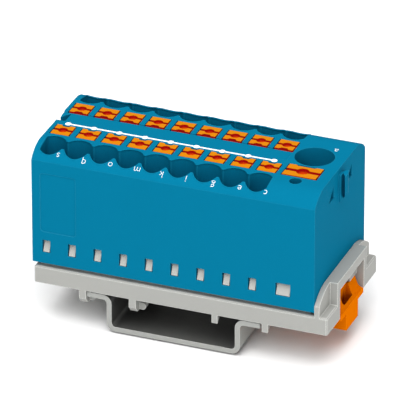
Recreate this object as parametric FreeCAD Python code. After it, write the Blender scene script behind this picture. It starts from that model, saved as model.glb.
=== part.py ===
import FreeCAD, Part
import math
import os

# Power distribution block on a short piece of mounting rail, in millimetres.
# X runs along the row of terminals, the front is at -Y, and Z = 0 is the underside of the rail.

# mounting rail, a top-hat section
rail_width = 35.0
rail_height = 7.5
rail_sheet = 1.0
rail_web_width = 27.0
rail_bend = 0.8  # inside radius of each bend
rail_inset = 0.3  # adapter's face to the end of the rail

# row of terminals
column_count = 9
column_pitch = 5.2
first_column = 2.85  # left face to the first column
infeed_step = 6.55  # last column to the infeed terminal
right_margin = 5.9  # infeed terminal to the right face

# housing
block_depth = 27.4
front_height = 21.65
crest_height = 24.1
crown_radius = 6.0
wall = 0.9
column_wall = 1.0
middle_wall = 1.2
deck = 8.9  # crest down to the roof of the chambers
infeed_wall = 2.0  # right end wall beside the infeed chamber

# conductor entries
entry_offset = 9.95  # from the middle of the block to each row
entry_radius = 1.9
entry_guide = 3.5  # straight part above the chamber
entry_mouth_radius = 2.77
entry_passage_width = 0.8  # blunts the web between two mouths
entry_passage_length = 2.6
last_entry_flat = 2.2  # flat side of the last entry in each row
infeed_offset = 2.1  # behind the middle of the block
infeed_radius = 3.82
probe_radius = 1.18
probe_offset = 8.3  # in front of the middle of the block

# shallow channel along the crest, between the rows of buttons
channel_depth = 0.27
channel_front = 1.0  # in front of the middle of the block

# windows in the front and back walls
window_width = 1.65
window_height = 2.65
window_sill = 2.3
infeed_window_width = 3.0
infeed_window_shift = -0.4

# hooked joint between neighbouring blocks, measured from the middle of the block and from its end
rib_front = 0.9
rib_back = 1.85
rib_out = 1.4
rib_lean = 0.35  # the head stands out less at its back edge
rib_neck = 0.73  # back of the neck
rib_land = 0.4  # root in front of the groove
rib_groove = 1.1  # from the front to the bottom of the groove
rib_groove_out = 0.52
rib_lip = 0.15  # front edge of the head
rib_foot = 16.9
rib_top = 22.8
rib_taper = 1.25  # rise of the underside for each millimetre out
slot_gap = 0.2
lead_in_depth = 0.75
lead_in_length = 2.2
lead_in_drop = 0.5
wedge_spacing = 9.8  # middle of one pocket to the middle of the other
wedge_width = 2.75
wedge_foot = 19.2
wedge_rise = 2.7
wedge_depth = 0.6

# blank label panel on the front face
panel_left = 1.7
panel_width = 7.2
panel_foot = 6.7
panel_height = 12.4
panel_depth = 0.1
panel_radius = 0.6

# push buttons
button_near = 2.9  # middle of the block to the near side
button_depth = 3.74
button_width = 3.65
button_side_gap = 0.25
button_end_gap = 0.12
button_proud = 0.07
button_catch = 0.4
catch_height = 0.65
groove_width = 0.72
groove_depth = 0.5
dimple_radius = 0.94
dimple_sides = 16
dimple_depth = 0.9
notch_mouth = 1.9
notch_floor = 1.1
notch_in = 0.5
notch_fall = 1.6
nose_depth = 1.45
nose_gap = 0.12
infeed_button_near = -6.66
infeed_button_depth = 4.56
infeed_button_width = 6.7
infeed_button_proud = 0.13
infeed_groove_width = 1.0
infeed_groove_depth = 0.7
infeed_dimple_radius = 1.28
infeed_dimple_depth = 1.25
infeed_notch_mouth = 4.0
infeed_notch_floor = 3.4
infeed_notch_in = 0.35
infeed_nose_depth = 2.8

# current bar
cover_inside = 0.8
bar_sheet = 0.8
leg_sheet = 0.65
leg_width = 3.4
leg_height = 9.5
post_sheet = 0.6
post_height = 12.0
part_gap = 0.1
barb_width = 1.25
barb_out = 0.9
barb_foot = 0.4  # upright face below the slope
barb_height = 2.4
infeed_leg_gap = 0.15  # bore to the leg behind it
infeed_leg_width = 7.0
infeed_leg_height = 10.0

# clamping springs
spring_sheet = 0.4
spring_width = 3.6
spring_bend = 1.0
spring_bend_height = 11.6
spring_tip_gap = 0.25
spring_tip_height = 6.6
bend_steps = 4  # flats that make up each bend
infeed_spring_sheet = 0.6
infeed_spring_width = 7.0
infeed_spring_bend = 1.4
infeed_spring_bend_height = 11.1
infeed_spring_foot = -8.5
infeed_spring_tip_height = 5.6

# bottom cover and the tongues that it clips on
plinth_inset = 1.2
clip_spacing_x = 40.0
clip_spacing_y = 12.0
clip_width = 3.0
clip_sheet = 1.0
clip_hook = 0.3
clip_neck = 0.7
clip_head = 0.7

# rail adapter
flange_gap = 0.3
skirt_height = 3.5
shadow_gap = 0.9
adapter_wall = 1.2
adapter_deck = 1.2
adapter_inset = 0.3
edge_break = 0.25
ear_gap = 0.05
ear_sheet = 1.0
ear_side = 1.4  # top of its straight side above the block's floor
ear_crown = 3.8
ear_radius = 8.7
ear_window_width = 6.1
ear_window_drop = 0.3  # block's floor down to the top of the window
portal_depth = 1.55
portal_width = 15.9
portal_open_width = 13.2
portal_open_height = 1.85
foot_drop = 1.75
foot_depth = 2.0
left_foot_width = 1.4
left_foot_depth = 3.4
left_foot = 8.15  # middle of the rail to the inner left foot
tooth_drop = 2.9
tooth_back = 1.0
nose_reach = 1.25  # rounded nose on the inner left foot
nose_height = 1.4
nose_radius = 0.6
right_foot_width = 1.15
right_foot_toe = 0.25
right_foot = 8.5
right_outer_foot = 18.6
hook_reach = 1.4
hook_gap = 0.1
pad_width = 1.6
guide_wall = 1.1
guide_lip = 0.9
guide_length = 6.2

# latch
latch_head = 3.1
latch_plate = 1.0
latch_plate_width = 12.1
latch_plate_drop = 0.7  # underside of the plate below the skirt
latch_grip_width = 6.3
latch_grip_height = 3.6
latch_ramp_height = 2.4
latch_ramp_foot = 0.9  # outer face to the foot of the ramp
latch_ramp_lean = 0.37  # for each millimetre up
latch_ramp_bend = 1.2
latch_eye_width = 4.8
latch_eye_depth = 1.7
latch_eye_corner = 0.4
latch_rim = 0.8
latch_eye_floor = 1.0
latch_arm_sheet = 1.4
latch_bar_width = 8.0
latch_bar_sheet = 1.5
latch_nose_reach = 1.4
latch_nose_sheet = 1.1
latch_proud = 0.1

# places that follow from the sizes above
half_depth = block_depth / 2
rail_length = block_depth - 2 * rail_inset
block_length = first_column + (column_count - 1) * column_pitch + infeed_step + right_margin
block_left = -block_length / 2
block_right = block_length / 2
skirt_foot = rail_height + flange_gap
adapter_top = skirt_foot + skirt_height
floor = adapter_top + shadow_gap
crest = floor + crest_height
chamber_top = crest - deck
chamber_half = (column_pitch - column_wall) / 2
chamber_far = half_depth - wall
chamber_near = middle_wall / 2
infeed_x = block_right - right_margin
infeed_half = right_margin - infeed_wall
bar_foot = floor + cover_inside
bar_top = bar_foot + bar_sheet
recess_top = bar_top + part_gap
throat = chamber_top + entry_guide
leg_far = chamber_far - part_gap
leg_near = leg_far - leg_sheet
post_near = chamber_near + 2 * part_gap
post_far = post_near + post_sheet
slot_near = button_near - button_end_gap
slot_half = button_width / 2 + button_side_gap
deck_under = adapter_top - adapter_deck
adapter_left = block_left + adapter_inset
ear_left = block_right + ear_gap
ear_right = ear_left + ear_sheet
adapter_right = ear_right + portal_depth
latch_right = adapter_right + latch_proud
latch_left = latch_right - latch_head
latch_foot = skirt_foot - latch_plate_drop
latch_top = latch_foot + latch_plate + latch_ramp_height
above = 5.0  # how far a cutting shape runs past the surface it opens


def column_x(number):
    """Middle of a column, numbered from 0 at the left."""
    return block_left + first_column + number * column_pitch


def box(x0, x1, y0, y1, z0, z1):
    """A block between two corners."""
    return Part.makeBox(x1 - x0, y1 - y0, z1 - z0, FreeCAD.Vector(x0, y0, z0))


def spot(plane, a, b, level):
    """A point from two plane coordinates and the level across them."""
    if plane == "xy":
        return FreeCAD.Vector(a, b, level)
    if plane == "xz":
        return FreeCAD.Vector(a, level, b)
    return FreeCAD.Vector(level, a, b)


def thickness(plane, length):
    """The direction in which a shape drawn on the plane is drawn out."""
    return spot(plane, 0, 0, length)


def corner(before, here, after, radius):
    """Start, middle and end of the rounding at one corner of an outline."""
    one = FreeCAD.Vector(before[0] - here[0], before[1] - here[1], 0)
    two = FreeCAD.Vector(after[0] - here[0], after[1] - here[1], 0)
    one.normalize()
    two.normalize()
    half = one.getAngle(two) / 2
    back = radius / math.tan(half)
    split = one + two
    split.normalize()
    place = FreeCAD.Vector(here[0], here[1], 0)
    centre = place + split * (radius / math.sin(half))
    return place + one * back, centre - split * radius, place + two * back


def outline(plane, points, level, radii=None):
    """A closed flat face through the points, with each corner rounded by its own radius."""
    radii = radii or [0] * len(points)
    stops = []
    for i, here in enumerate(points):
        if radii[i]:
            stops.append(corner(points[i - 1], here, points[(i + 1) % len(points)], radii[i]))
        else:
            stops.append((FreeCAD.Vector(here[0], here[1], 0),))
    edges = []
    for i, stop in enumerate(stops):
        run = [spot(plane, p.x, p.y, level) for p in stop]
        if len(run) == 3:
            edges.append(Part.Arc(*run).toShape())
        following = stops[(i + 1) % len(stops)][0]
        edges.append(Part.makeLine(run[-1], spot(plane, following.x, following.y, level)))
    return Part.Face(Part.Wire(edges))


def prism(plane, points, level, length, radii=None):
    """An outline drawn out to a solid."""
    return outline(plane, points, level, radii).extrude(thickness(plane, length))


def one_solid(shape):
    """Merge the faces that lie in one surface and return the single solid."""
    return shape.removeSplitter().Solids[0]


def across(side, near, far):
    """Low and high Y of a span measured outwards from the middle, to the front or the back."""
    return tuple(sorted((side * near, side * far)))


def spring_course(foot, bend, bend_height, tip, tip_height):
    """Bend centre, angle where the clamping leg leaves the bend, and the leg's direction."""
    centre = (foot + bend, floor + bend_height)
    reach = (tip - centre[0], floor + tip_height - centre[1])
    distance = math.hypot(*reach)
    leave = math.atan2(reach[1], reach[0]) + math.acos(bend / distance)
    along = (math.sin(leave), -math.cos(leave))
    length = math.sqrt(distance**2 - bend**2)
    return centre, leave, along, length


def small_spring_course():
    foot = post_far + spring_sheet / 2
    tip = leg_near - spring_tip_gap
    return spring_course(foot, spring_bend, spring_bend_height, tip, spring_tip_height)


def infeed_spring_course():
    tip = infeed_offset + infeed_radius - spring_tip_gap
    return spring_course(
        infeed_spring_foot,
        infeed_spring_bend,
        infeed_spring_bend_height,
        tip,
        infeed_spring_tip_height,
    )


def leg_surface(course, bend, sheet, place):
    """Height of the upper face of a clamping leg at a distance from the middle."""
    centre, leave, along, _ = course
    out = bend + sheet / 2
    start = (centre[0] + out * math.cos(leave), centre[1] + out * math.sin(leave))
    return start[1] + (place - start[0]) * along[1] / along[0]


def spring(course, bend, sheet, width, x, side):
    """A strip with an upright leg, a bend at its top and a clamping leg that slants outwards."""
    centre, leave, along, length = course

    def at(radius, angle, run=0.0):
        y = centre[0] + radius * math.cos(angle) + run * along[0]
        z = centre[1] + radius * math.sin(angle) + run * along[1]
        return side * y, z

    outer = bend + sheet / 2
    inner = bend - sheet / 2
    angles = [math.pi + (leave - math.pi) * i / bend_steps for i in range(bend_steps + 1)]
    points = [(side * (centre[0] - outer), recess_top)]
    points += [at(outer, angle) for angle in angles]
    points += [at(outer, leave, length), at(inner, leave, length)]
    points += [at(inner, angle) for angle in reversed(angles)]
    points.append((side * (centre[0] - inner), recess_top))
    return prism("yz", points, x - width / 2, width)


def button(x, side, near, depth, width, proud, course, bend, sheet, nose):
    """A push button with a catch at its foot and a nose that presses on the spring."""
    far = near + depth
    foot = chamber_top - part_gap - catch_height
    nose_near = far - nose
    points = [
        (near - button_catch, foot),
        (near - button_catch, foot + catch_height),
        (near, foot + catch_height),
        (near, crest + proud),
        (far, crest),
        (far, leg_surface(course, bend, sheet, far) + nose_gap),
        (nose_near, leg_surface(course, bend, sheet, nose_near) + nose_gap),
        (nose_near, foot),
    ]
    return prism("yz", [(side * y, z) for y, z in points], x - width / 2, width)


def tool_marks(x, middle, level, width, groove, depth, radius, dimple):
    """Screwdriver groove across the top of a button, and the dimple in its middle."""
    slit = box(x - width, x + width, middle - groove / 2, middle + groove / 2, level - depth, crest + above)
    turns = [2 * math.pi * i / dimple_sides for i in range(dimple_sides)]
    ring = [(x + radius * math.cos(turn), middle + radius * math.sin(turn)) for turn in turns]
    return [slit, prism("xy", ring, level - dimple, dimple + above)]


def edge_notch(x, edge, inward, mouth, bottom, depth):
    """Notch in the edge of a button's top, narrower towards its bottom."""
    plan = [
        (x - mouth / 2, edge - inward * above),
        (x - mouth / 2, edge),
        (x - bottom / 2, edge + inward * depth),
        (x + bottom / 2, edge + inward * depth),
        (x + mouth / 2, edge),
        (x + mouth / 2, edge - inward * above),
    ]
    return prism("xy", plan, crest - notch_fall, notch_fall + above)


def small_button(number, side):
    x = column_x(number)
    body = button(
        x, side, button_near, button_depth, button_width, button_proud,
        small_spring_course(), spring_bend, spring_sheet, nose_depth,
    )
    middle = side * (button_near + button_depth / 2)
    level = crest + button_proud / 2
    cuts = tool_marks(x, middle, level, button_width, groove_width, groove_depth, dimple_radius, dimple_depth)
    cuts.append(edge_notch(x, side * button_near, side, notch_mouth, notch_floor, notch_in))
    return one_solid(body.cut(cuts))


def infeed_button():
    body = button(
        infeed_x, 1, infeed_button_near, infeed_button_depth, infeed_button_width, infeed_button_proud,
        infeed_spring_course(), infeed_spring_bend, infeed_spring_sheet, infeed_nose_depth,
    )
    middle = infeed_button_near + infeed_button_depth / 2
    level = crest + infeed_button_proud / 2
    cuts = tool_marks(
        infeed_x, middle, level, infeed_button_width,
        infeed_groove_width, infeed_groove_depth, infeed_dimple_radius, infeed_dimple_depth,
    )
    edge = infeed_button_near + infeed_button_depth
    cuts.append(edge_notch(infeed_x, edge, -1, infeed_notch_mouth, infeed_notch_floor, infeed_notch_in))
    return one_solid(body.cut(cuts))


def crowned(left, length, foot, side_top, top, radius):
    """Upright front and back, an arc from each up to the flat top, drawn out along X."""
    centre = top - radius
    start = math.sqrt(radius**2 - (side_top - centre) ** 2)
    flat = half_depth - start
    turn = (math.atan2(side_top - centre, start) + math.pi / 2) / 2
    half_arc = (flat + radius * math.cos(turn), centre + radius * math.sin(turn))

    def at(y, z):
        return FreeCAD.Vector(left, y, z)

    edges = [
        Part.makeLine(at(half_depth, foot), at(-half_depth, foot)),
        Part.makeLine(at(-half_depth, foot), at(-half_depth, side_top)),
        Part.Arc(at(-half_depth, side_top), at(-half_arc[0], half_arc[1]), at(-flat, top)).toShape(),
        Part.makeLine(at(-flat, top), at(flat, top)),
        Part.Arc(at(flat, top), at(*half_arc), at(half_depth, side_top)).toShape(),
        Part.makeLine(at(half_depth, side_top), at(half_depth, foot)),
    ]
    return Part.Face(Part.Wire(edges)).extrude(FreeCAD.Vector(length, 0, 0))


def entry_cut(number, side):
    """Straight guide of one conductor entry, and the round mouth that runs into its neighbours."""
    x = column_x(number)
    y = side * entry_offset
    foot = chamber_top - part_gap
    guide = Part.makeCylinder(entry_radius, throat + part_gap - foot, FreeCAD.Vector(x, y, foot))
    mouth = Part.makeCylinder(entry_mouth_radius, crest + above - throat, FreeCAD.Vector(x, y, throat))
    low, high = across(side, 0, half_depth + above)
    left = x - entry_radius if number == 0 else x - above
    right = x + last_entry_flat if number == column_count - 1 else x + above
    return [guide, mouth.common(box(left, right, low, high, throat - above, crest + above)).Solids[0]]


def entry_passage(number, side):
    """Blunt gap in the web between one mouth and the next."""
    x = column_x(number) + column_pitch / 2
    half = entry_passage_width / 2
    middle = side * entry_offset
    reach = entry_passage_length / 2
    return box(x - half, x + half, middle - reach, middle + reach, throat, crest + above)


def button_slot(x, side, near, depth, width):
    low, high = across(side, near - button_end_gap, near + depth + button_end_gap)
    half = width / 2 + button_side_gap
    return box(x - half, x + half, low, high, chamber_top - part_gap, crest + above)


def window(x, side, width):
    low, high = across(side, chamber_far - part_gap, half_depth + above)
    sill = floor + window_sill
    return box(x - width / 2, x + width / 2, low, high, sill, sill + window_height)


def infeed_cuts():
    """Chamber, round infeed bore, probe hole, button slot and windows of the large terminal."""
    left = infeed_x - infeed_half
    right = infeed_x + infeed_half
    chamber = box(left, right, -chamber_far, chamber_far, floor, chamber_top)
    foot = chamber_top - part_gap
    height = crest + above - foot
    bore = Part.makeCylinder(infeed_radius, height, FreeCAD.Vector(infeed_x, infeed_offset, foot))
    probe = Part.makeCylinder(probe_radius, height, FreeCAD.Vector(infeed_x, -probe_offset, foot))
    slot = button_slot(infeed_x, 1, infeed_button_near, infeed_button_depth, infeed_button_width)
    windows = [window(infeed_x + infeed_window_shift, side, infeed_window_width) for side in (-1, 1)]
    return [chamber, bore, probe, slot] + windows


def joining_rib():
    """Hooked rib on the right end, with a groove that lets its head spring, and a tapered foot."""
    plan = [
        (block_right - part_gap, -rib_front),
        (block_right + rib_land, -rib_front),
        (block_right + rib_groove_out, rib_groove - rib_front),
        (block_right + rib_out - rib_lip, -rib_front),
        (block_right + rib_out, -rib_front),
        (block_right + rib_out, rib_neck - rib_lean),
        (block_right + rib_out - rib_lean, rib_back),
        (block_right, rib_neck),
        (block_right - part_gap, rib_neck),
    ]
    rib = prism("xy", plan, floor + rib_foot, rib_top - rib_foot)
    out = rib_out + above
    taper = prism(
        "xz",
        [
            (block_right, floor + rib_foot),
            (block_right + out, floor + rib_foot),
            (block_right + out, floor + rib_foot + out * rib_taper),
        ],
        -half_depth,
        block_depth,
    )
    return rib.cut(taper)


def joining_slot():
    """Slot in the left end, open at the top, for the neighbour's rib, and the lead-in on its back lip."""
    front = -rib_front - slot_gap
    mouth_back = rib_neck + slot_gap
    depth = rib_out + slot_gap
    slope = (rib_back - rib_neck) / (rib_out - rib_lean)
    plan = [
        (block_left - above, front),
        (block_left + depth, front),
        (block_left + depth, mouth_back + slope * depth),
        (block_left, mouth_back),
        (block_left - above, mouth_back),
    ]
    slot = prism("xy", plan, floor + rib_foot - slot_gap, crest_height - rib_foot + above)
    lead_in = prism(
        "yz",
        [
            (front, crest - lead_in_drop),
            (mouth_back, crest - lead_in_drop),
            (mouth_back + lead_in_length, crest),
            (mouth_back + lead_in_length, crest + above),
            (front, crest + above),
        ],
        block_left - above,
        above + lead_in_depth,
    )
    return slot.fuse(lead_in)


def crest_channel():
    """Shallow channel between the rows of buttons, open at the left end."""
    right = column_x(column_count - 1) + slot_half
    return box(block_left - above, right, -channel_front, slot_near, crest - channel_depth, crest + above)


def wedge_pockets():
    """Two shallow three-cornered pockets, one on each side of the rib."""
    pockets = []
    for middle in (-wedge_spacing / 2, wedge_spacing / 2):
        plan = [
            (middle + wedge_width / 2, floor + wedge_foot + wedge_rise),
            (middle - wedge_width / 2, floor + wedge_foot),
            (middle + wedge_width / 2, floor + wedge_foot),
        ]
        pockets.append(prism("yz", plan, block_right - wedge_depth, wedge_depth + above))
    return pockets


def label_panel():
    left = block_left + panel_left
    foot = floor + panel_foot
    points = [
        (left, foot),
        (left + panel_width, foot),
        (left + panel_width, foot + panel_height),
        (left, foot + panel_height),
    ]
    return prism("xz", points, -half_depth - above, above + panel_depth, [panel_radius] * 4)


def terminal_cut(number, side):
    """Chamber, button slot, window and conductor entry of one small terminal, as one shape."""
    x = column_x(number)
    low, high = across(side, chamber_near, chamber_far)
    chamber = box(x - chamber_half, x + chamber_half, low, high, floor, chamber_top)
    slot = button_slot(x, side, button_near, button_depth, button_width)
    cuts = [slot, window(x, side, window_width)] + entry_cut(number, side)
    if number < column_count - 1:
        cuts.append(entry_passage(number, side))
    return chamber.fuse(cuts)


def housing():
    """The blue moulding, cut out one terminal at a time."""
    form = crowned(block_left, block_length, floor, floor + front_height, crest, crown_radius)
    body = form.fuse(joining_rib())
    chamber, *openings = infeed_cuts()
    body = body.cut(chamber.fuse(openings))
    for number in range(column_count):
        for side in (-1, 1):
            body = body.cut(terminal_cut(number, side))
    left = column_x(0) - chamber_half
    recess = box(left, infeed_x + infeed_half, -chamber_far, chamber_far, floor - above, recess_top)
    body = body.cut(recess).cut(crest_channel()).cut(joining_slot())
    return one_solid(body.cut(wedge_pockets() + [label_panel()]))


def barb(x, side, width):
    """A tongue on the outside of a leg that leans out towards its foot and fills a window."""
    sill = floor + window_sill + part_gap
    points = [
        (leg_far - leg_sheet / 2, sill),
        (leg_far + barb_out, sill),
        (leg_far + barb_out, sill + barb_foot),
        (leg_far, sill + barb_height),
        (leg_far - leg_sheet / 2, sill + barb_height),
    ]
    return prism("yz", [(side * y, z) for y, z in points], x - width / 2, width)


def busbar():
    """Base strip with a leg and a post for each terminal, all in one piece."""
    left = column_x(0) - chamber_half + part_gap
    right = infeed_x + infeed_half - part_gap
    pieces = []
    for number in range(column_count):
        x = column_x(number)
        half = leg_width / 2
        for side in (-1, 1):
            low, high = across(side, leg_near, leg_far)
            pieces.append(box(x - half, x + half, low, high, bar_foot, floor + leg_height))
            low, high = across(side, post_near, post_far)
            pieces.append(box(x - half, x + half, low, high, bar_foot, floor + post_height))
            pieces.append(barb(x, side, barb_width))
    near = infeed_offset + infeed_radius + infeed_leg_gap
    far = infeed_spring_foot - infeed_spring_sheet / 2 - bar_sheet
    infeed_half_leg = infeed_leg_width / 2
    for y, height in ((near, infeed_leg_height), (far, infeed_spring_bend_height)):
        ends = (infeed_x - infeed_half_leg, infeed_x + infeed_half_leg)
        pieces.append(box(*ends, y, y + bar_sheet, bar_foot, floor + height))
    shown = infeed_x + infeed_window_shift
    shown_half = infeed_window_width / 2 + part_gap
    for side in (-1, 1):
        low, high = across(side, leg_near, leg_far)
        pieces.append(box(shown - shown_half, shown + shown_half, low, high, bar_foot, floor + leg_height))
        pieces.append(barb(shown, side, infeed_window_width - 3 * part_gap))
    base = box(left, right, -leg_far, leg_far, bar_foot, bar_top)
    return one_solid(base.fuse(pieces))


def clip_places():
    middle = (column_x(0) + infeed_x) / 2
    for x in (middle - clip_spacing_x / 2, middle + clip_spacing_x / 2):
        for y in (-clip_spacing_y / 2, clip_spacing_y / 2):
            yield x, y


def clip_tongue(x, y, gap):
    """An upright tongue with an outward hook, or the pocket for it when a gap is given."""
    side = 1 if y > 0 else -1
    near = -clip_sheet / 2 - gap
    neck = clip_sheet / 2 + gap
    hook = neck + clip_hook
    low = adapter_top + clip_neck - gap
    top = adapter_top + clip_neck + clip_head + gap
    points = [
        (near, adapter_top - gap),
        (neck, adapter_top - gap),
        (neck, low),
        (hook, low),
        (hook, low + clip_hook),
        (neck, top),
        (near, top),
    ]
    width = clip_width + 2 * gap
    return prism("yz", [(y + side * out, z) for out, z in points], x - width / 2, width)


def bottom_cover():
    """Cover that closes the housing from below and stands on the adapter as a plinth."""
    left = column_x(0) - chamber_half + part_gap
    right = infeed_x + infeed_half - part_gap
    upper = box(left, right, -leg_far, leg_far, floor - part_gap, bar_foot)
    lower = box(
        block_left + plinth_inset,
        block_right - plinth_inset,
        -half_depth + plinth_inset,
        half_depth - plinth_inset,
        adapter_top,
        floor,
    )
    pockets = [clip_tongue(x, y, part_gap) for x, y in clip_places()]
    return one_solid(upper.fuse(lower).cut(pockets))


def rail():
    half = rail_width / 2
    web = rail_web_width / 2
    top = rail_height
    sheet = rail_sheet
    outer = rail_bend + sheet
    points = [
        (-half, top), (-half, top - sheet), (-web, top - sheet), (-web, 0),
        (web, 0), (web, top - sheet), (half, top - sheet), (half, top),
        (web - sheet, top), (web - sheet, sheet), (sheet - web, sheet), (sheet - web, top),
    ]
    radii = [0, 0, rail_bend, outer, outer, rail_bend, 0, 0, outer, rail_bend, rail_bend, outer]
    return prism("xz", points, -rail_length / 2, rail_length, radii)


def fixed_hook():
    """Hook that grips the left flange of the rail from one side of the adapter to the other."""
    tip = -rail_width / 2 - hook_gap
    web = [
        (-half_depth, deck_under),
        (-half_depth, skirt_foot - foot_drop),
        (-half_depth + tooth_back, skirt_foot - tooth_drop),
        (half_depth - tooth_back, skirt_foot - tooth_drop),
        (half_depth, skirt_foot - foot_drop),
        (half_depth, deck_under),
    ]
    hook = prism("yz", web, tip - left_foot_width, left_foot_width)
    lip_top = rail_height - rail_sheet - hook_gap
    lip_foot = skirt_foot - tooth_drop
    lip = [
        (tip - part_gap, lip_top),
        (tip + hook_reach, lip_top),
        (tip + hook_reach, (lip_top + lip_foot) / 2),
        (tip + hook_reach / 2, lip_foot),
        (tip - part_gap, lip_foot),
    ]
    half = half_depth - 2 * tooth_back
    return hook.fuse(prism("xz", lip, -half, 2 * half))


def left_feet():
    """Toothed feet inside the left of the rail, each with a rounded nose towards the middle."""
    feet = []
    for side in (-1, 1):
        profile = [
            (half_depth, deck_under),
            (half_depth, skirt_foot - foot_drop),
            (half_depth - tooth_back, skirt_foot - tooth_drop),
            (half_depth - left_foot_depth, skirt_foot - tooth_drop),
            (half_depth - left_foot_depth, deck_under),
        ]
        left = -left_foot - left_foot_width / 2
        feet.append(prism("yz", [(side * y, z) for y, z in profile], left, left_foot_width))
        root = left + left_foot_width / 2
        tip = left + left_foot_width + nose_reach
        low = skirt_foot - tooth_drop
        nose = [(root, low), (tip, low), (tip, low + nose_height), (root, low + nose_height)]
        near, far = across(side, half_depth - left_foot_depth, half_depth - foot_depth)
        feet.append(prism("xz", nose, near, far - near, [0, nose_radius, nose_radius, 0]))
    return feet


def right_feet():
    """Feet with a sloping back, two inside the rail and two beside its right flange."""
    feet = []
    for side in (-1, 1):
        profile = [
            (half_depth, deck_under),
            (half_depth, skirt_foot - foot_drop),
            (half_depth - right_foot_toe, skirt_foot - foot_drop),
            (half_depth - foot_depth, skirt_foot),
            (half_depth - foot_depth, deck_under),
        ]
        for x in (right_foot, right_outer_foot):
            left = x - right_foot_width / 2
            feet.append(prism("yz", [(side * y, z) for y, z in profile], left, right_foot_width))
    return feet


def rail_pads():
    """Two bars that rest on the rail's flanges."""
    middle = (rail_width + rail_web_width) / 4
    half = half_depth - adapter_wall / 2
    pads = []
    for x in (-middle, middle):
        pads.append(box(x - pad_width / 2, x + pad_width / 2, -half, half, rail_height, deck_under))
    return pads


def latch_guides():
    """Two angled guides that carry the latch bar, and the rib above it."""
    right = latch_left - part_gap
    left = right - guide_length
    bar_low = latch_foot
    inner = latch_bar_width / 2 + part_gap
    guides = []
    for side in (-1, 1):
        low = bar_low - part_gap - guide_lip
        points = [
            (side * inner, deck_under),
            (side * inner, bar_low - part_gap),
            (side * (inner - guide_lip), bar_low - part_gap),
            (side * (inner - guide_lip), low),
            (side * (inner + guide_wall), low),
            (side * (inner + guide_wall), deck_under),
        ]
        guides.append(prism("yz", points, left, guide_length))
    bar_high = bar_low + latch_bar_sheet + part_gap
    guides.append(box(left, right, -guide_wall / 2, guide_wall / 2, bar_high, deck_under))
    return guides


def latch_openings():
    """Doorway in the portal, room for the latch's head under the ear, and a window above it."""
    half = portal_open_width / 2
    window = ear_window_width / 2
    low = skirt_foot - above
    right = adapter_right + above
    room = box(latch_left - part_gap, right, -half, half, low, latch_top + part_gap)
    doorway = box(ear_right, right, -half, half, low, floor + portal_open_height)
    return [room, doorway, box(latch_left - part_gap, right, -window, window, low, floor - ear_window_drop)]


def rail_adapter():
    """Grey snap-on adapter: skirt, deck, feet, hook, ear, latch portal and clip tongues."""
    skirt = box(adapter_left, adapter_right, -half_depth, half_depth, skirt_foot, adapter_top)
    corners = [e for e in skirt.Edges if abs(e.Vertexes[0].Point.z - e.Vertexes[1].Point.z) > 1]
    skirt = skirt.makeChamfer(edge_break, corners)
    rim = [e for e in skirt.Edges if e.BoundBox.ZMin > adapter_top - part_gap]
    skirt = skirt.makeChamfer(edge_break, rim)
    inner_right = ear_left - adapter_wall
    hollow = box(
        adapter_left + adapter_wall,
        inner_right,
        -half_depth + adapter_wall,
        half_depth - adapter_wall,
        skirt_foot - above,
        deck_under,
    )
    ear = crowned(ear_left, ear_sheet, deck_under, floor + ear_side, floor + ear_crown, ear_radius)
    open_half = portal_open_width / 2
    passage = box(inner_right - above, latch_left, -open_half, open_half, skirt_foot - above, deck_under)
    half = portal_width / 2
    portal = box(ear_left + ear_sheet / 2, adapter_right, -half, half, deck_under, floor + ear_crown)
    pieces = [ear, portal, fixed_hook()] + left_feet() + right_feet() + rail_pads() + latch_guides()
    pieces += [clip_tongue(x, y, 0) for x, y in clip_places()]
    body = skirt.cut(hollow).cut(passage).fuse(pieces)
    for opening in latch_openings():
        body = body.cut(opening)
    return one_solid(body)


def latch():
    """Sliding latch: nose under the rail's right flange, guided bar, and a head with a tool eye."""
    right = latch_right
    head = latch_left
    low = latch_foot
    top = low + latch_plate
    tip = rail_width / 2 + hook_gap
    nose_top = rail_height - rail_sheet - hook_gap
    arm = [
        (tip - latch_nose_reach, nose_top),
        (tip - latch_nose_reach, nose_top - latch_nose_sheet / 2),
        (tip - latch_nose_reach / 2, nose_top - latch_nose_sheet),
        (tip + latch_arm_sheet, nose_top - latch_nose_sheet),
        (tip + latch_arm_sheet, low),
        (head + part_gap, low),
        (head + part_gap, low + latch_bar_sheet),
        (tip, low + latch_bar_sheet),
        (tip, nose_top),
    ]
    bar = prism("xz", arm, -latch_bar_width / 2, latch_bar_width)
    plate_half = latch_plate_width / 2
    plate = box(head, right, -plate_half, plate_half, low, top)
    grip_half = latch_grip_width / 2
    grip = box(head, right, -grip_half, grip_half, low - latch_grip_height, low + part_gap)
    foot = right - latch_ramp_foot
    ramp = prism(
        "xz",
        [
            (head, top - part_gap),
            (head, latch_top),
            (foot - latch_ramp_lean * latch_ramp_height, latch_top),
            (foot, top),
            (right, top),
            (right, top - part_gap),
        ],
        -plate_half,
        latch_plate_width,
        [0, 0, 0, latch_ramp_bend, 0, 0],
    )
    eye_half = latch_eye_width / 2
    eye_right = right - latch_rim
    eye_left = eye_right - latch_eye_depth
    plan = [(eye_left, -eye_half), (eye_right, -eye_half), (eye_right, eye_half), (eye_left, eye_half)]
    eye_foot = low - latch_grip_height + latch_eye_floor
    eye = prism("xy", plan, eye_foot, latch_top + above - eye_foot, [latch_eye_corner] * 4)
    return one_solid(bar.fuse([plate, grip, ramp]).cut(eye))


def save(name, shape):
    if not shape.isValid() or len(shape.Solids) != 1:
        print("check", name, "valid", shape.isValid(), "solids", len(shape.Solids))
    shape.exportStep("parts/%s.step" % name)


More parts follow.
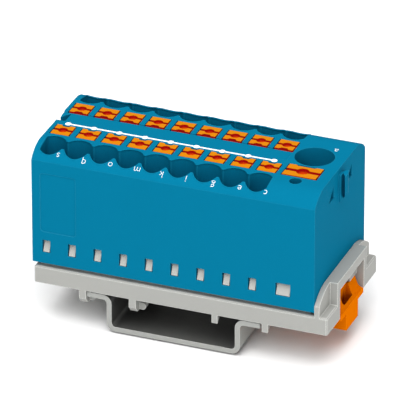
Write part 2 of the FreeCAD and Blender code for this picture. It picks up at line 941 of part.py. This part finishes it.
def build():
    os.makedirs("parts", exist_ok=True)
    save("din_rail", rail())
    save("rail_adapter", rail_adapter())
    save("latch", latch())
    save("bottom_cover", bottom_cover())
    save("busbar", busbar())
    save("housing", housing())
    for side, row in ((-1, "front"), (1, "back")):
        for number in range(column_count):
            x = column_x(number)
            course = small_spring_course()
            strip = spring(course, spring_bend, spring_sheet, spring_width, x, side)
            save("spring_%s_%d" % (row, number + 1), strip)
            save("button_%s_%d" % (row, number + 1), small_button(number, side))
    course = infeed_spring_course()
    strip = spring(course, infeed_spring_bend, infeed_spring_sheet, infeed_spring_width, infeed_x, 1)
    save("spring_infeed", strip)
    save("button_infeed", infeed_button())


build()
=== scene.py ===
import bpy
import bmesh
import math
from mathutils import Matrix, Vector


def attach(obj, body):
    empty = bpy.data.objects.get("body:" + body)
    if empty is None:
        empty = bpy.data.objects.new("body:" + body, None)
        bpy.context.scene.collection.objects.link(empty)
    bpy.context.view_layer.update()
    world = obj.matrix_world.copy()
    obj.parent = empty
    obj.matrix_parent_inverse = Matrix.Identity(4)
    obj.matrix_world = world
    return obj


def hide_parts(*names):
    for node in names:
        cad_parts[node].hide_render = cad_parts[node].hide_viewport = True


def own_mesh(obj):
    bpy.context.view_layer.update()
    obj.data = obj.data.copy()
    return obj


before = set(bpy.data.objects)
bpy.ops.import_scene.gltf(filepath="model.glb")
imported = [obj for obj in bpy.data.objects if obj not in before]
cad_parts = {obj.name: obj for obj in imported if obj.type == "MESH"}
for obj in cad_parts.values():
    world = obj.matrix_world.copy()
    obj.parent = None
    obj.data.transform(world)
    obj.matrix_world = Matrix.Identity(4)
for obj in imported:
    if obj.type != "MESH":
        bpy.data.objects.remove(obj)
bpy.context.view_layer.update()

print("frame loaded:", len(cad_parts), "nodes")

mm = 0.001

# Sizes repeated from the part, in millimetres
block = {
    "left": -28.45,
    "floor": 12.2,
    "crest": 36.3,
    "halfDepth": 13.7,
    "crownRadius": 6.0,
    "frontHeight": 21.65,
    "firstColumn": 2.85,
    "pitch": 5.2,
    "columns": 9,
}
crownCentre = block["crest"] - block["crownRadius"]
crownFoot = block["floor"] + block["frontHeight"] - crownCentre  # where front meets shoulder
crownStart = math.sqrt(block["crownRadius"] ** 2 - crownFoot ** 2)
crownFlat = block["halfDepth"] - crownStart  # the crest is flat up to here on both sides
firstX = block["left"] + block["firstColumn"]
columnX = [firstX + i * block["pitch"] for i in range(block["columns"])]


def srgb(code):  # a hex colour as the linear one that a shader takes
    parts = [int(code[i:i + 2], 16) / 255 for i in (1, 3, 5)]
    linear = [c / 12.92 if c <= 0.04045 else ((c + 0.055) / 1.055) ** 2.4 for c in parts]
    return tuple(linear) + (1.0,)


def add(tree, kind, links=None, **settings):  # a node, its settings, a value or link per socket
    made = tree.nodes.new(kind)
    for key, value in settings.items():
        setattr(made, key, value)
    for key, value in (links or {}).items():
        if isinstance(value, bpy.types.NodeSocket):
            tree.links.new(value, made.inputs[key])
        else:
            made.inputs[key].default_value = value
    return made


bevelSamples = 6
hollowSamples = 12


def newMaterial(name, roundMm):  # empty, with its coordinates in metres and its rounded edges
    material = bpy.data.materials.new(name)
    material.use_nodes = True
    tree = material.node_tree
    tree.nodes.clear()
    place = add(tree, "ShaderNodeTexCoord").outputs["Object"]
    rounded = add(tree, "ShaderNodeBevel", {"Radius": roundMm * mm}, samples=bevelSamples)
    return material, tree, place, rounded.outputs["Normal"]


edgeTurn = {"none": 0.995, "full": 0.85}  # cosine between the face and the rounded edge


def paintedEdgeHighlight(tree, colour, edge, made):  # painted highlight: a lighter line painted along an edge, where the rounded edge would catch the light
    facing = add(tree, "ShaderNodeNewGeometry").outputs["Normal"]
    turned = add(tree, "ShaderNodeVectorMath", {0: facing, 1: edge}, operation="DOT_PRODUCT")
    lift = add(tree, "ShaderNodeMapRange", {
        "Value": turned.outputs["Value"],
        "From Min": edgeTurn["none"], "From Max": edgeTurn["full"], "To Max": made["highlightLift"]})
    return add(tree, "ShaderNodeMix", {
        0: lift.outputs["Result"], 6: colour.outputs[2], 7: srgb(made["edge"])}, data_type="RGBA")


def closeMaterial(material, tree, look):
    shader = add(tree, "ShaderNodeBsdfPrincipled", look)
    add(tree, "ShaderNodeOutputMaterial", {"Surface": shader.outputs["BSDF"]})
    return material


# Moulded polyamide: a satin skin with a fine spark-eroded grain and faint flow marks.
# The real grain is about 0.05 mm, drawn at four times that so that it shows.

bluePlastic = {
    "base": "#056C8D", "deep": "#056A8A", "flowMm": 9.0, "grainMm": 0.2, "grainDepthMm": 0.004,
    # painted highlight along the edges: the edge colour and how far it lifts
    "edge": "#2A93B4", "highlightLift": 0.5, "roundMm": 0.2,
    "sheen": "#2F9FD0", "rough": 0.6, "roughStep": 0.05, "specular": 0.003,
    "hollow": "#054A68", "hollowMm": 8.0, "closedAt": 0.0, "openAt": 0.6,  # painted shade: ambient occlusion darkens the mouths downwards
}
greyPlastic = {
    "base": "#9D9D99", "deep": "#9A9A96", "flowMm": 7.0, "grainMm": 0.2, "grainDepthMm": 0.004,
    # painted highlight along the edges: the edge colour and how far it lifts
    "edge": "#E2E3DE", "highlightLift": 0.9, "roundMm": 0.25,
    "sheen": "#E8E8E4", "rough": 0.52, "roughStep": 0.05, "specular": 0.15,
}
orangePlastic = {
    "base": "#DC7000", "deep": "#D86C00", "flowMm": 5.0, "grainMm": 0.18, "grainDepthMm": 0.003,
    # painted highlight along the edges: the edge colour and how far it lifts
    "edge": "#FF9A20", "highlightLift": 0.5, "roundMm": 0.12,
    "sheen": "#FFA040", "rough": 0.5, "roughStep": 0.05, "specular": 0.0,
    "hollow": "#8A1400", "hollowMm": 2.2, "closedAt": 0.3, "openAt": 0.75,  # painted shade: ambient occlusion turns the inside of the eye deep red
}
plasticIor = 1.53
plasticSpeck = {"low": 0.35, "high": 0.7, "dark": 0.97}  # which grain darkens, and how far
noiseLow, noiseHigh = 0.3, 0.7  # nearly all of a noise texture's values lie between these


def mouldedPolyamide(name, made):
    material, tree, place, edge = newMaterial(name, made["roundMm"])
    flow = add(tree, "ShaderNodeTexNoise", {
        "Vector": place, "Scale": 1 / (made["flowMm"] * mm), "Detail": 2.0})
    grain = add(tree, "ShaderNodeTexNoise", {
        "Vector": place, "Scale": 1 / (made["grainMm"] * mm), "Detail": 4.0, "Roughness": 0.6})
    colour = add(tree, "ShaderNodeMix", {
        0: flow.outputs["Fac"], 6: srgb(made["deep"]), 7: srgb(made["base"])}, data_type="RGBA")
    speck = add(tree, "ShaderNodeMapRange", {
        "Value": grain.outputs["Fac"],
        "From Min": plasticSpeck["low"], "From Max": plasticSpeck["high"],
        "To Min": plasticSpeck["dark"], "To Max": 1.0})
    colour = add(tree, "ShaderNodeMix", {0: 1.0, 6: colour.outputs[2], 7: speck.outputs["Result"]},
                 data_type="RGBA", blend_type="MULTIPLY")
    colour = paintedEdgeHighlight(tree, colour, edge, made)
    # painted shade: where ambient occlusion closes in, the colour turns towards the hollow shade
    # colour
    if "hollow" in made:
        closed = add(tree, "ShaderNodeAmbientOcclusion", {"Distance": made["hollowMm"] * mm},
                     only_local=True, samples=hollowSamples)
        opened = add(tree, "ShaderNodeMapRange", {
            "Value": closed.outputs["AO"],
            "From Min": made["closedAt"], "From Max": made["openAt"]})
        colour = add(tree, "ShaderNodeMix", {
            0: opened.outputs["Result"], 6: srgb(made["hollow"]), 7: colour.outputs[2]},
            data_type="RGBA")
    rough = add(tree, "ShaderNodeMapRange", {
        "Value": grain.outputs["Fac"], "From Min": noiseLow, "From Max": noiseHigh,
        "To Min": made["rough"] - made["roughStep"], "To Max": made["rough"] + made["roughStep"]})
    skin = add(tree, "ShaderNodeBump", {
        "Height": grain.outputs["Fac"], "Distance": made["grainDepthMm"] * mm, "Normal": edge})
    return closeMaterial(material, tree, {
        "Base Color": colour.outputs[2],
        "Roughness": rough.outputs["Result"],
        "Normal": skin.outputs["Normal"],
        "IOR": plasticIor,
        "Specular IOR Level": made["specular"],
        "Specular Tint": srgb(made["sheen"]),
    })


# satin blue, with a painted highlight where an edge turns and painted shade down in the mouths
bluePolyamide = mouldedPolyamide("moulded_polyamide_blue", bluePlastic)
# warm pale grey, dull, with a painted highlight line along its edges
greyPolyamide = mouldedPolyamide("moulded_polyamide_grey", greyPlastic)
# clear orange without shine, with a painted highlight along its edges and deep red painted shade
# inside the tool eye
orangePolyamide = mouldedPolyamide("moulded_polyamide_orange", orangePlastic)
print("moulded plastics made")


# Push buttons: smooth translucent orange with painted shade, deep red in the groove, the dimple and
# down the sides. The colour follows the depth below the slanting top.

buttonShadeByDepth = [  # share of the full depth, and the painted colour there: orange on top, deep red shade below
    (0.0, "#C67600"), (0.03, "#C67600"), (0.06, "#A80A12"),
    (0.42, "#A00A10"), (0.6, "#B83010"), (0.9, "#D8560E"),
]
buttonSkin = {"roundMm": 0.05, "grainMm": 0.18, "grainDepthMm": 0.002, "dark": 0.97,
              "roughLow": 0.36, "roughHigh": 0.44, "specular": 0.05, "sheen": "#FFB040"}
smallButton = {"near": 2.9, "far": 6.64, "topNear": 36.37, "topFar": 36.3, "bothSides": True,
               "depthMm": 1.0}
largeButton = {"near": -6.66, "far": -2.1, "topNear": 36.43, "topFar": 36.3, "bothSides": False,
               "depthMm": 1.2}


def buttonPolyamide(name, made):
    material, tree, place, edge = newMaterial(name, buttonSkin["roundMm"])
    parts = add(tree, "ShaderNodeSeparateXYZ", {"Vector": place}).outputs
    out = parts["Y"]
    if made["bothSides"]:
        out = add(tree, "ShaderNodeMath", {0: out}, operation="ABSOLUTE").outputs[0]
    top = add(tree, "ShaderNodeMapRange", {
        "Value": out, "From Min": made["near"] * mm, "From Max": made["far"] * mm,
        "To Min": made["topNear"] * mm, "To Max": made["topFar"] * mm})
    depth = add(tree, "ShaderNodeMath", {0: top.outputs["Result"], 1: parts["Z"]},
                operation="SUBTRACT")
    share = add(tree, "ShaderNodeMapRange", {
        "Value": depth.outputs[0], "From Max": made["depthMm"] * mm})
    # painted shade: the colour ramp turns deep red with the depth below the top
    colour = add(tree, "ShaderNodeValToRGB", {"Fac": share.outputs["Result"]})
    stops = colour.color_ramp.elements
    while len(stops) < len(buttonShadeByDepth):
        stops.new(0.5)
    for stop, (at, code) in zip(stops, buttonShadeByDepth):
        stop.position = at
        stop.color = srgb(code)
    grain = add(tree, "ShaderNodeTexNoise", {
        "Vector": place, "Scale": 1 / (buttonSkin["grainMm"] * mm), "Detail": 3.0})
    speck = add(tree, "ShaderNodeMapRange", {
        "Value": grain.outputs["Fac"], "From Min": noiseLow, "From Max": noiseHigh,
        "To Min": buttonSkin["dark"], "To Max": 1.0})
    tone = add(tree, "ShaderNodeMix", {
        0: 1.0, 6: colour.outputs["Color"], 7: speck.outputs["Result"]},
        data_type="RGBA", blend_type="MULTIPLY")
    rough = add(tree, "ShaderNodeMapRange", {
        "Value": grain.outputs["Fac"], "From Min": noiseLow, "From Max": noiseHigh,
        "To Min": buttonSkin["roughLow"], "To Max": buttonSkin["roughHigh"]})
    skin = add(tree, "ShaderNodeBump", {
        "Height": grain.outputs["Fac"], "Distance": buttonSkin["grainDepthMm"] * mm,
        "Normal": edge})
    return closeMaterial(material, tree, {
        "Base Color": tone.outputs[2],
        "Roughness": rough.outputs["Result"],
        "Normal": skin.outputs["Normal"],
        "IOR": plasticIor,
        "Specular IOR Level": buttonSkin["specular"],
        "Specular Tint": srgb(buttonSkin["sheen"]),
    })


# bright top, painted blood-red shade down the recesses
smallButtonMaterial = buttonPolyamide("button_polyamide_small", smallButton)
# the same on the larger button
largeButtonMaterial = buttonPolyamide("button_polyamide_large", largeButton)


# Metals

tinnedStrip = {
    "base": "#B2B2AD", "deep": "#A8A8A3", "cloudMm": 2.0, "metal": 0.3, "roundMm": 0.06,
    "rough": 0.45, "roughStep": 0.08,
    "stretch": (1, 1, 4), "streakMm": 0.5, "streakDepthMm": 0.003,
}
springStrip = {
    "base": "#C9CCD0", "deep": "#B4B8BC", "cloudMm": 2.5, "metal": 1.0, "roundMm": 0.05,
    "rough": 0.28, "roughStep": 0.08,
    "stretch": (6, 1, 1), "streakMm": 0.5, "streakDepthMm": 0.002,
}


def rolledMetal(name, made):
    material, tree, place, edge = newMaterial(name, made["roundMm"])
    drawn = add(tree, "ShaderNodeMapping", {"Vector": place, "Scale": made["stretch"]})
    streak = add(tree, "ShaderNodeTexNoise", {
        "Vector": drawn.outputs["Vector"], "Scale": 1 / (made["streakMm"] * mm),
        "Detail": 4.0, "Roughness": 0.6})
    cloud = add(tree, "ShaderNodeTexNoise", {
        "Vector": place, "Scale": 1 / (made["cloudMm"] * mm), "Detail": 2.0})
    colour = add(tree, "ShaderNodeMix", {
        0: cloud.outputs["Fac"], 6: srgb(made["deep"]), 7: srgb(made["base"])}, data_type="RGBA")
    rough = add(tree, "ShaderNodeMapRange", {
        "Value": streak.outputs["Fac"], "From Min": noiseLow, "From Max": noiseHigh,
        "To Min": made["rough"] - made["roughStep"], "To Max": made["rough"] + made["roughStep"]})
    skin = add(tree, "ShaderNodeBump", {
        "Height": streak.outputs["Fac"], "Distance": made["streakDepthMm"] * mm, "Normal": edge})
    return closeMaterial(material, tree, {
        "Base Color": colour.outputs[2],
        "Metallic": made["metal"],
        "Roughness": rough.outputs["Result"],
        "Normal": skin.outputs["Normal"],
    })


# soft white metal with a hazy shine
tinnedCopper = rolledMetal("tinned_copper_rolled", tinnedStrip)
# cooler and brighter, with fine rolling lines
springSteel = rolledMetal("stainless_spring_steel_rolled", springStrip)


# Zinc-plated sheet steel: the sheet is a half-bright grey with drawing lines along the rail, with
# painted shade dark down in the channel and a painted lit outer side towards the infeed end; its
# sawn ends are paler and matt, with a painted highlight along the edges.

railSteel = {
    "sheet": "#828380", "sheetDeep": "#767774", "cloudMm": 3.0, "metal": 0.5, "rough": 0.42,
    # painted shade: ambient occlusion darkens the sheet towards the shaded colour in the channel
    "shaded": "#3B3B3A", "shadedMm": 12.0, "closedAt": 0.3,
    "outer": "#A0A29E", "outsideMm": 13.3, "outsideStepMm": 0.2,  # painted light: the outer side towards the infeed end is lighter
    "sawn": "#989995", "sawnMetal": 0.1, "sawnRough": 0.6, "sawnFrom": 0.6, "sawnTo": 0.9,
    # painted highlight along the edges: the edge colour and how far it lifts
    "edge": "#D6D8D3", "highlightLift": 0.9, "roundMm": 0.12,
    "lineMm": 0.8, "lineDepthMm": 0.004, "stretch": (5, 1, 5),
}


def platedSheet(name, made):
    material, tree, place, edge = newMaterial(name, made["roundMm"])
    facing = add(tree, "ShaderNodeTexCoord").outputs["Normal"]
    endwise = add(tree, "ShaderNodeSeparateXYZ", {"Vector": facing}).outputs["Y"]
    endwise = add(tree, "ShaderNodeMath", {0: endwise}, operation="ABSOLUTE")
    sawn = add(tree, "ShaderNodeMapRange", {
        "Value": endwise.outputs[0], "From Min": made["sawnFrom"], "From Max": made["sawnTo"]})
    drawn = add(tree, "ShaderNodeMapping", {"Vector": place, "Scale": made["stretch"]})
    lines = add(tree, "ShaderNodeTexNoise", {
        "Vector": drawn.outputs["Vector"], "Scale": 1 / (made["lineMm"] * mm),
        "Detail": 4.0, "Roughness": 0.6})
    cloud = add(tree, "ShaderNodeTexNoise", {
        "Vector": place, "Scale": 1 / (made["cloudMm"] * mm), "Detail": 2.0})
    sheet = add(tree, "ShaderNodeMix", {
        0: cloud.outputs["Fac"], 6: srgb(made["sheetDeep"]), 7: srgb(made["sheet"])},
        data_type="RGBA")
    # painted shade down in the channel, from ambient occlusion
    closed = add(tree, "ShaderNodeAmbientOcclusion", {"Distance": made["shadedMm"] * mm},
                 samples=hollowSamples)
    opened = add(tree, "ShaderNodeMapRange", {
        "Value": closed.outputs["AO"], "From Min": made["closedAt"], "From Max": 1.0})
    across = add(tree, "ShaderNodeSeparateXYZ", {0: place}).outputs["X"]
    # painted light: past outsideMm across the rail, the sheet turns to the lighter outer colour
    paintedLitSide = add(tree, "ShaderNodeMapRange", {
        "Value": across, "From Min": made["outsideMm"] * mm,
        "From Max": (made["outsideMm"] + made["outsideStepMm"]) * mm})
    sheet = add(tree, "ShaderNodeMix", {
        0: opened.outputs["Result"], 6: srgb(made["shaded"]), 7: sheet.outputs[2]},
        data_type="RGBA")
    sheet = add(tree, "ShaderNodeMix", {
        0: paintedLitSide.outputs["Result"], 6: sheet.outputs[2], 7: srgb(made["outer"])},
        data_type="RGBA")
    colour = add(tree, "ShaderNodeMix", {
        0: sawn.outputs["Result"], 6: sheet.outputs[2], 7: srgb(made["sawn"])}, data_type="RGBA")
    colour = paintedEdgeHighlight(tree, colour, edge, made)
    metal = add(tree, "ShaderNodeMapRange", {
        "Value": sawn.outputs["Result"], "To Min": made["metal"], "To Max": made["sawnMetal"]})
    rough = add(tree, "ShaderNodeMapRange", {
        "Value": sawn.outputs["Result"], "To Min": made["rough"], "To Max": made["sawnRough"]})
    skin = add(tree, "ShaderNodeBump", {
        "Height": lines.outputs["Fac"], "Distance": made["lineDepthMm"] * mm, "Normal": edge})
    return closeMaterial(material, tree, {
        "Base Color": colour.outputs[2],
        "Metallic": metal.outputs["Result"],
        "Roughness": rough.outputs["Result"],
        "Normal": skin.outputs["Normal"],
    })


# dull grey, with painted shade in the hollow, a painted lit outer side and pale cut ends
zincSteel = platedSheet("zinc_plated_steel_sheet", railSteel)
print("button plastics and metals made")


# White print: thick pad-printed ink, slightly uneven and less shiny than the plastic

inkFilm = {"base": "#FFFFFF", "thin": "#F2F6F8", "grainMm": 0.12, "depthMm": 0.002, "roundMm": 0.01,
           "roughLow": 0.5, "roughHigh": 0.62, "specular": 0.3}


def printInk(name, made):
    material, tree, place, edge = newMaterial(name, made["roundMm"])
    grain = add(tree, "ShaderNodeTexNoise", {
        "Vector": place, "Scale": 1 / (made["grainMm"] * mm), "Detail": 3.0})
    colour = add(tree, "ShaderNodeMix", {
        0: grain.outputs["Fac"], 6: srgb(made["thin"]), 7: srgb(made["base"])}, data_type="RGBA")
    rough = add(tree, "ShaderNodeMapRange", {
        "Value": grain.outputs["Fac"], "From Min": noiseLow, "From Max": noiseHigh,
        "To Min": made["roughLow"], "To Max": made["roughHigh"]})
    skin = add(tree, "ShaderNodeBump", {
        "Height": grain.outputs["Fac"], "Distance": made["depthMm"] * mm, "Normal": edge})
    return closeMaterial(material, tree, {
        "Base Color": colour.outputs[2],
        "Roughness": rough.outputs["Result"],
        "Normal": skin.outputs["Normal"],
        "Specular IOR Level": made["specular"],
    })


# flat opaque white
whiteInk = printInk("pad_printed_ink_white", inkFilm)


# Materials on the carried-over pieces

def dress(name, material):
    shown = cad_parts[name]
    if not shown.material_slots:
        shown.data.materials.append(material)
    for slot in shown.material_slots:
        slot.material = material


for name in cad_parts:
    if name == "button_infeed":
        dress(name, largeButtonMaterial)
    elif name.startswith("button"):
        dress(name, smallButtonMaterial)
dress("housing", bluePolyamide)
dress("bottom_cover", greyPolyamide)
dress("busbar", tinnedCopper)
dress("rail_adapter", greyPolyamide)
dress("latch", orangePolyamide)
dress("din_rail", zincSteel)
print("carried-over pieces dressed")


# Pieces made here

def crownHeight(y):  # surface height of the housing at a distance from its middle
    out = abs(y) - crownFlat
    if out <= 0:
        return block["crest"]
    return crownCentre + math.sqrt(block["crownRadius"] ** 2 - out ** 2)


def pieceFrom(form, name, material):  # form is a mesh or a curve
    shape = bpy.data.objects.new(name, form)
    bpy.context.scene.collection.objects.link(shape)
    shape.data.materials.append(material)
    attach(shape, "block")
    return shape


# Clamping springs, hidden in the housing; the real ones give way under the pressed buttons, these
# are plain copies of the nodes' strips


def flexSpring(node):  # the same strip as the node, as a piece of its own
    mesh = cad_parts[node].data.copy()
    mesh.materials.clear()
    strip = pieceFrom(mesh, "flexing_" + node, springSteel)
    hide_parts(node)
    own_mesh(strip)


for name in list(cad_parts):
    if name.startswith("spring"):
        flexSpring(name)
print("clamping springs made")


# Rounded lip along the merged mouths of each row, where the real moulding turns over

mouthLip = {"offset": 9.95, "radius": 2.77, "webFace": 1.3, "leftFlat": 1.9, "rightFlat": 2.2,
            "thick": 0.17, "sunk": 0.12, "stepDegrees": 9, "roundSteps": 2}


def lipOutline(side):  # arcs over the mouths that meet at the webs, cut flat at the row's ends
    r = mouthLip["radius"]
    leftEnd = columnX[0] - mouthLip["leftFlat"]
    rightEnd = columnX[-1] + mouthLip["rightFlat"]
    first = math.degrees(math.asin(mouthLip["webFace"] / r))
    span = 180 - 2 * first
    count = round(span / mouthLip["stepDegrees"])
    turns = [math.radians(180 - first - i * span / count) for i in range(count + 1)]
    arcs = [(x + r * math.cos(turn), r * math.sin(turn)) for x in columnX for turn in turns]
    outer = [(min(max(x, leftEnd), rightEnd), y) for x, y in arcs]
    inner = [(x, -y) for x, y in reversed(outer)]
    return [(x, side * (mouthLip["offset"] + y)) for x, y in outer + inner]


def drawMouthLip(side, name):
    curve = bpy.data.curves.new(name, "CURVE")
    curve.dimensions = "3D"
    curve.bevel_depth = mouthLip["thick"] * mm
    curve.bevel_resolution = mouthLip["roundSteps"]
    points = lipOutline(side)
    spline = curve.splines.new("POLY")
    spline.points.add(len(points) - 1)
    for point, (x, y) in zip(spline.points, points):
        point.co = (x * mm, y * mm, (crownHeight(y) - mouthLip["sunk"]) * mm, 1)
    spline.use_cyclic_u = True
    shape = pieceFrom(curve, name, bluePolyamide)


def thicken(bm, thicknessMm):
    result = bmesh.ops.extrude_face_region(bm, geom=list(bm.faces))
    for vertex in (v for v in result["geom"] if isinstance(v, bmesh.types.BMVert)):
        vertex.co.z += thicknessMm * mm
    bmesh.ops.recalc_face_normals(bm, faces=list(bm.faces))


# White print on the crest: the line that joins the terminals, with a dot for each

busMark = {"y": -2.04, "lineWidth": 0.44, "dotRadius": 0.6, "dotSides": 40, "shift": -0.02,
           "ink": 0.02}


def drawBusMark():
    bm = bmesh.new()
    level = block["crest"] * mm
    half = busMark["lineWidth"] / 2
    r = busMark["dotRadius"]
    hidden = math.sqrt(r * r - half * half)
    for i, x in enumerate(columnX):
        x += busMark["shift"]
        turns = [2 * math.pi * k / busMark["dotSides"] for k in range(busMark["dotSides"])]
        ring = [(x + r * math.cos(turn), r * math.sin(turn)) for turn in turns]
        bm.faces.new([bm.verts.new((a * mm, (busMark["y"] + b) * mm, level)) for a, b in ring])
        if i < len(columnX) - 1:
            left = x + hidden
            right = columnX[i + 1] + busMark["shift"] - hidden
            corners = [(left, -half), (right, -half), (right, half), (left, half)]
            bm.faces.new([
                bm.verts.new((a * mm, (busMark["y"] + b) * mm, level)) for a, b in corners])
    thicken(bm, busMark["ink"])
    mesh = bpy.data.meshes.new("bus_mark")
    bm.to_mesh(mesh)
    bm.free()
    pieceFrom(mesh, "bus_mark", whiteInk)


# Terminal letters, turned to be read from behind and laid over the curve of the shoulders

letterMark = {"size": 1.95, "halfTall": 0.5, "rowY": 12.1, "shiftX": 1.75,
              "infeedSize": 2.15, "infeedX": 24.95, "infeedY": 5.6,
              "ink": 0.06, "thinMm": 0.04, "curveSteps": 5, "stepMm": 0.24, "halvings": 3}


def drawLetter(text, x, y, size):
    name = "letter_" + text
    curve = bpy.data.curves.new(name, "FONT")
    curve.body = text
    curve.size = size * mm
    curve.offset = -letterMark["thinMm"] * mm
    curve.align_x = "RIGHT"
    curve.resolution_u = letterMark["curveSteps"]
    holder = bpy.data.objects.new(name, curve)
    bpy.context.scene.collection.objects.link(holder)
    bpy.context.view_layer.update()
    ready = holder.evaluated_get(bpy.context.evaluated_depsgraph_get())
    mesh = bpy.data.meshes.new_from_object(ready)
    bpy.data.objects.remove(holder)
    bm = bmesh.new()
    bm.from_mesh(mesh)
    bmesh.ops.triangulate(bm, faces=list(bm.faces))
    heights = [v.co.y for v in bm.verts]
    inner = min(heights) if y < 0 else max(heights)  # the letter's edge nearest to the mouths
    for _ in range(letterMark["halvings"]):  # short edges, so that the flat letter can bend
        longer = [e for e in bm.edges if e.calc_length() > letterMark["stepMm"] * mm]
        if longer:
            bmesh.ops.subdivide_edges(bm, edges=longer, cuts=1)
    bmesh.ops.triangulate(bm, faces=list(bm.faces))
    past = (abs(y) + letterMark["halfTall"] - crownFlat) / block["crownRadius"]
    tilt = math.asin(max(0.0, min(1.0, past)))
    for vertex in bm.verts:
        sideways, up = vertex.co.x / mm, (vertex.co.y - inner) / mm
        along = y - up * math.cos(tilt)
        vertex.co = Vector(((x - sideways) * mm, along * mm, crownHeight(along) * mm))
    thicken(bm, letterMark["ink"])
    bm.to_mesh(mesh)
    bm.free()
    pieceFrom(mesh, name, whiteInk)


drawMouthLip(-1, "mouth_lip_front")
drawMouthLip(1, "mouth_lip_back")
drawBusMark()
for side, letters in ((-1, "sqomkigec"), (1, "rpnljhfdb")):
    for x, letter in zip(columnX, letters):
        drawLetter(letter, x + letterMark["shiftX"], side * letterMark["rowY"], letterMark["size"])
drawLetter("a", letterMark["infeedX"], letterMark["infeedY"], letterMark["infeedSize"])
print("mouth lips and print made")


# Floor, light and camera

studio = {"reach": 3.0, "dropMm": 0.4, "sky": 0.36, "paper": "#F9F9F9", "paperShade": "#F7F7F7",
          "cloudMm": 120.0, "roundMm": 0.1, "rough": 0.9, "specular": 0.1}
lamps = {  # place and size in metres, power in watts
    "key": {"place": (0.06, -0.58, 0.72), "size": 0.8, "power": 6.6},
    "top": {"place": (0.0, -0.05, 1.0), "size": 1.2, "power": 8.7},
    "fill": {"place": (0.92, -0.34, 0.16), "size": 0.6, "power": 2.5},
}
lampAim = (0.0, 0.0, 0.02)


def studioFloor():
    bm = bmesh.new()
    reach = studio["reach"]
    level = -studio["dropMm"] * mm  # a little below the rail, for the dark line of contact
    corners = [(-reach, -reach), (reach, -reach), (reach, reach), (-reach, reach)]
    bm.faces.new([bm.verts.new((x, y, level)) for x, y in corners])
    mesh = bpy.data.meshes.new("floor")
    bm.to_mesh(mesh)
    bm.free()
    shape = bpy.data.objects.new("floor", mesh)
    bpy.context.scene.collection.objects.link(shape)
    material, tree, place, _ = newMaterial("studio_paper", studio["roundMm"])
    cloud = add(tree, "ShaderNodeTexNoise", {
        "Vector": place, "Scale": 1 / (studio["cloudMm"] * mm), "Detail": 2.0})
    colour = add(tree, "ShaderNodeMix", {
        0: cloud.outputs["Fac"], 6: srgb(studio["paperShade"]), 7: srgb(studio["paper"])},
        data_type="RGBA")
    closeMaterial(material, tree, {
        "Base Color": colour.outputs[2],
        "Roughness": studio["rough"],
        "Specular IOR Level": studio["specular"],
    })
    shape.data.materials.append(material)


def softLight(name, made):
    lamp = bpy.data.lights.new(name, "AREA")
    lamp.shape = "DISK"
    lamp.size = made["size"]
    lamp.energy = made["power"]
    holder = bpy.data.objects.new(name, lamp)
    bpy.context.scene.collection.objects.link(holder)
    holder.location = made["place"]
    towards = Vector(lampAim) - Vector(made["place"])
    holder.rotation_euler = towards.to_track_quat("-Z", "Y").to_euler()


studioFloor()
for name, made in lamps.items():
    softLight(name, made)

world = bpy.data.worlds.new("studio")
bpy.context.scene.world = world
world.use_nodes = True
world.node_tree.nodes.clear()
sky = add(world.node_tree, "ShaderNodeBackground", {
    "Color": (1, 1, 1, 1), "Strength": studio["sky"]})
add(world.node_tree, "ShaderNodeOutputWorld", {"Surface": sky.outputs["Background"]})

view = {  # the photo's camera, in millimetres and degrees, with focal and shift in pixels
    "azimuth": 21.132, "elevation": 27.86, "distance": 1200.0, "aim": (-0.05, -0.2, 20.2),
    "focal": 6336.2, "shift": (-6.09, 13.681), "pixels": 408, "sensor": 36.0,
    "clipStart": 0.1, "clipEnd": 20.0,  # metres
}


def placeCamera():
    a, e = math.radians(view["azimuth"]), math.radians(view["elevation"])
    back = Vector((math.sin(a) * math.cos(e), -math.cos(a) * math.cos(e), math.sin(e)))
    right = Vector((math.cos(a), math.sin(a), 0))
    up = back.cross(right)
    share = view["distance"] / view["focal"]
    aside, above = view["shift"]
    spot = Vector(view["aim"]) + back * view["distance"]
    spot += up * above * share - right * aside * share
    lens = bpy.data.cameras.new("camera")
    lens.sensor_width = view["sensor"]
    lens.lens = view["focal"] / view["pixels"] * view["sensor"]
    lens.clip_start = view["clipStart"]
    lens.clip_end = view["clipEnd"]
    holder = bpy.data.objects.new("camera", lens)
    bpy.context.scene.collection.objects.link(holder)
    turn = Matrix((right, up, back)).transposed()
    holder.matrix_world = Matrix.Translation(spot * mm) @ turn.to_4x4()
    bpy.context.scene.camera = holder


placeCamera()
bpy.context.scene.view_settings.view_transform = "Standard"
print("floor, light and camera set")
